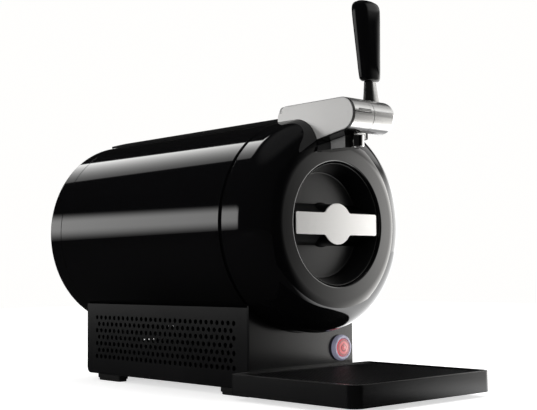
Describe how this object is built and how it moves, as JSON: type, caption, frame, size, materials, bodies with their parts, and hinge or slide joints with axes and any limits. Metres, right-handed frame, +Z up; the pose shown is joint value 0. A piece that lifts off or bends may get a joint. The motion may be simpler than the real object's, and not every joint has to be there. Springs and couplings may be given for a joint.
{
  "type": "mini keg beer dispenser",
  "caption": "Horizontal cylinder dispenser for a mini keg, with a front door, tap, cooler in a vented base and a drip tray.",
  "frame": {"origin": "middle of the footprint, on the surface that the feet stand on", "axes": "+Z up, -Y to the front, +X to the right of someone who looks at the back of the machine from the front"},
  "size_m": [0.25, 0.5434, 0.4495],
  "materials": {
    "gloss_shell": "high gloss black",
    "satin_base": "fine satin black",
    "matte_trim": "matte black",
    "grip_black": "soft gloss black",
    "tap_chrome": "satin chrome",
    "brushed_plate": "bead blasted",
    "steel_parts": "plain steel",
    "aluminium_parts": "plain aluminium",
    "rubber_parts": "matte rubber",
    "lit_red": "lit red lens",
    "foam_fill": "rigid insulating foam"
  },
  "bodies": {
    "housing": {"main_shell": "gloss_shell", "rear_cap": "gloss_shell", "nose_ring": "gloss_shell", "front_fascia": "satin_base", "rear_panel": "satin_base", "base_tray": "satin_base", "vent_panel_left": "satin_base", "vent_panel_right": "satin_base", "mouth_ring": "satin_base", "air_port": "satin_base", "top_spine": "matte_trim", "fan_frame": "matte_trim", "air_pump": "matte_trim", "front_cradle": "matte_trim", "rear_cradle": "matte_trim", "button_switch": "matte_trim", "power_supply": "matte_trim", "inlet_socket": "matte_trim", "control_board": "matte_trim", "peltier_module": "matte_trim", "tap_body": "tap_chrome", "tap_cheek_left": "tap_chrome", "tap_cheek_right": "tap_chrome", "tap_spout": "tap_chrome", "tap_nozzle": "tap_chrome", "button_bezel": "tap_chrome", "hinge_bracket": "steel_parts", "hinge_pin": "steel_parts", "tap_axle": "steel_parts", "cover_pin": "steel_parts", "cooling_sleeve": "aluminium_parts", "cold_block": "aluminium_parts", "heat_sink": "aluminium_parts", "foot_front_left": "rubber_parts", "foot_front_right": "rubber_parts", "foot_rear_left": "rubber_parts", "foot_rear_right": "rubber_parts", "air_hose": "rubber_parts", "insulation_jacket": "foam_fill"},
    "door": {"door_dish": "satin_base", "door_back": "satin_base", "door_seal": "rubber_parts", "hinge_arm": "steel_parts"},
    "door_handle": {"door_grip": "satin_base", "door_plate": "brushed_plate", "door_shaft": "steel_parts", "latch_bar": "steel_parts"},
    "tap_handle": {"tap_barrel": "tap_chrome", "tap_stem": "tap_chrome", "tap_grip": "grip_black"},
    "tap_lid": {"tap_cover": "tap_chrome"},
    "lid_latch": {"cover_latch": "tap_chrome"},
    "power_button": {"button_cap": "lit_red"},
    "tray": {"drip_tray": "satin_base"},
    "grid": {"drip_grid": "satin_base"},
    "fan": {"fan_rotor": "matte_trim"}
  },
  "joints": [
    {"name": "door_swing", "type": "hinge", "parent": "housing", "child": "door", "pos_m": [-0.094, -0.1338, 0.1944], "axis": [0, 0, -1], "range_deg": [0, 105]},
    {"name": "door_handle_turn", "type": "hinge", "parent": "door", "child": "door_handle", "pos_m": [0, -0.1433, 0.1944], "axis": [0, 1, 0], "range_deg": [0, 90]},
    {"name": "tap_pull", "type": "hinge", "parent": "housing", "child": "tap_handle", "pos_m": [0, -0.1818, 0.3142], "axis": [1, 0, 0], "range_deg": [0, 50], "stiffness_Nm_per_rad": 0.6, "springref_deg": -8.59},
    {"name": "tap_lid_lift", "type": "hinge", "parent": "housing", "child": "tap_lid", "pos_m": [0, -0.0863, 0.3268], "axis": [-1, 0, 0], "range_deg": [0, 75]},
    {"name": "lid_latch_press", "type": "slide", "parent": "tap_lid", "child": "lid_latch", "axis": [0, 1, 0], "range_m": [0, 0.0012], "stiffness_N_per_m": 400, "springref_m": -0.001},
    {"name": "power_button_press", "type": "slide", "parent": "housing", "child": "power_button", "axis": [0, 1, 0], "range_m": [0, 0.0012], "stiffness_N_per_m": 800, "springref_m": -0.001},
    {"name": "drip_tray_slide", "type": "slide", "parent": "housing", "child": "tray", "axis": [0, -1, 0], "range_m": [0, 0.12]},
    {"name": "drip_grid_lift", "type": "slide", "parent": "tray", "child": "grid", "axis": [0, 0, 1], "range_m": [0, 0.035]},
    {"name": "fan_spin", "type": "hinge", "parent": "housing", "child": "fan", "pos_m": [0, 0.05815, 0.0452], "axis": [0, 0, 1], "continuous": true}
  ]
}
